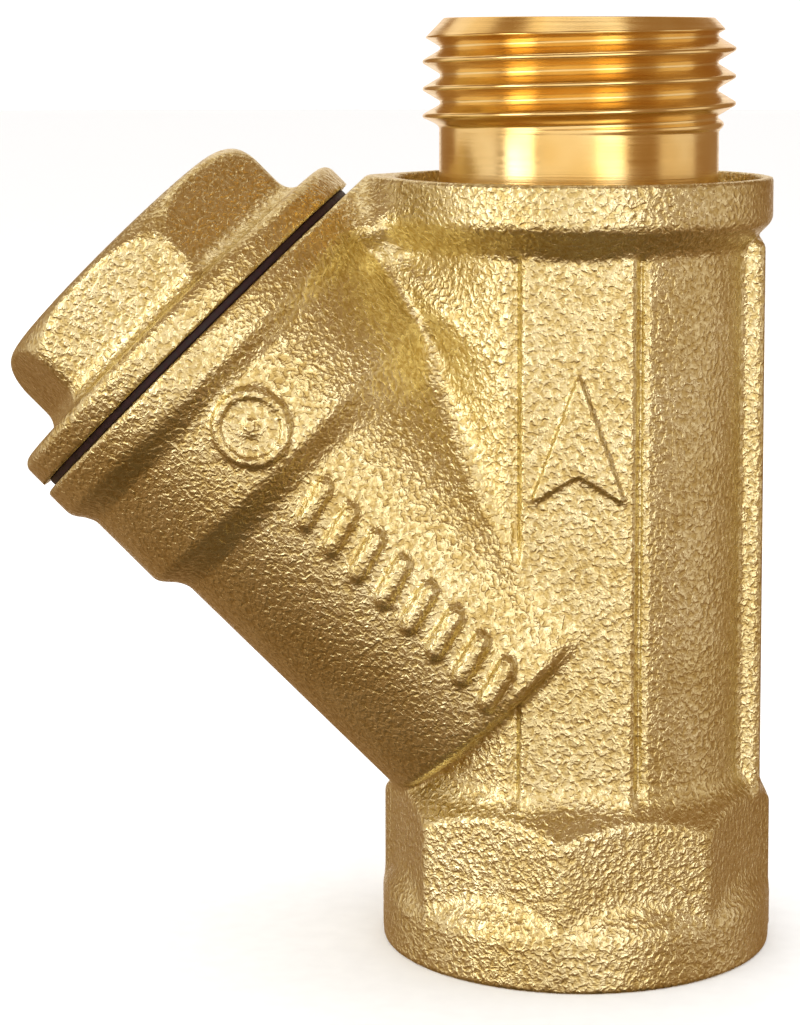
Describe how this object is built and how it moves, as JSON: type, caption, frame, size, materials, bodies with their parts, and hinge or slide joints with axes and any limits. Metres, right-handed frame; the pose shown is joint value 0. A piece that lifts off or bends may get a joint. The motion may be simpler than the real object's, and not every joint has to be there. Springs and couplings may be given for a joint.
{
  "type": "y strainer",
  "caption": "Brass inline strainer with a 45 degree screen branch, hexagon screw cap, female threaded inlet and male threaded outlet; it catches dirt in a pipe.",
  "frame": {"origin": "centre of the female inlet's end face, at the bottom of the run", "axes": "+Z along the run towards the male outlet, -X and +Z towards the screen branch, -Y towards the side with the flow arrow"},
  "size_m": [0.0515, 0.0292, 0.0625],
  "materials": {
    "forged_brass": "shot-blasted forged brass, turned smooth on the outlet",
    "gasket_rubber": "dark maroon fibre and rubber",
    "stainless": "thin stainless sheet and wire"
  },
  "bodies": {
    "body": {"body": "forged_brass"},
    "screen": {"screen_support_tube": "stainless", "screen_lining": "stainless", "screen_inner_ring": "stainless", "screen_outer_ring": "stainless"},
    "gasket": {"gasket": "gasket_rubber"},
    "cap": {"cap": "forged_brass"}
  },
  "joints": [
    {"name": "screen_withdraw", "type": "slide", "parent": "body", "child": "screen", "axis": [-0.7071, 0, 0.7071], "range_m": [0, 0.04]},
    {"name": "cap_advance", "type": "slide", "parent": "screen", "child": "gasket", "axis": [-0.7071, 0, 0.7071], "range_m": [0, 0.006]},
    {"name": "cap_turn", "type": "hinge", "parent": "gasket", "child": "cap", "pos_m": [-0.02568, 0, 0.04093], "axis": [-0.7071, 0, 0.7071], "range_deg": [0, 1440]}
  ],
  "couplings": [
    {"joint": "cap_advance", "follows": "cap_turn", "m_per_rad": 0.00023873}
  ]
}
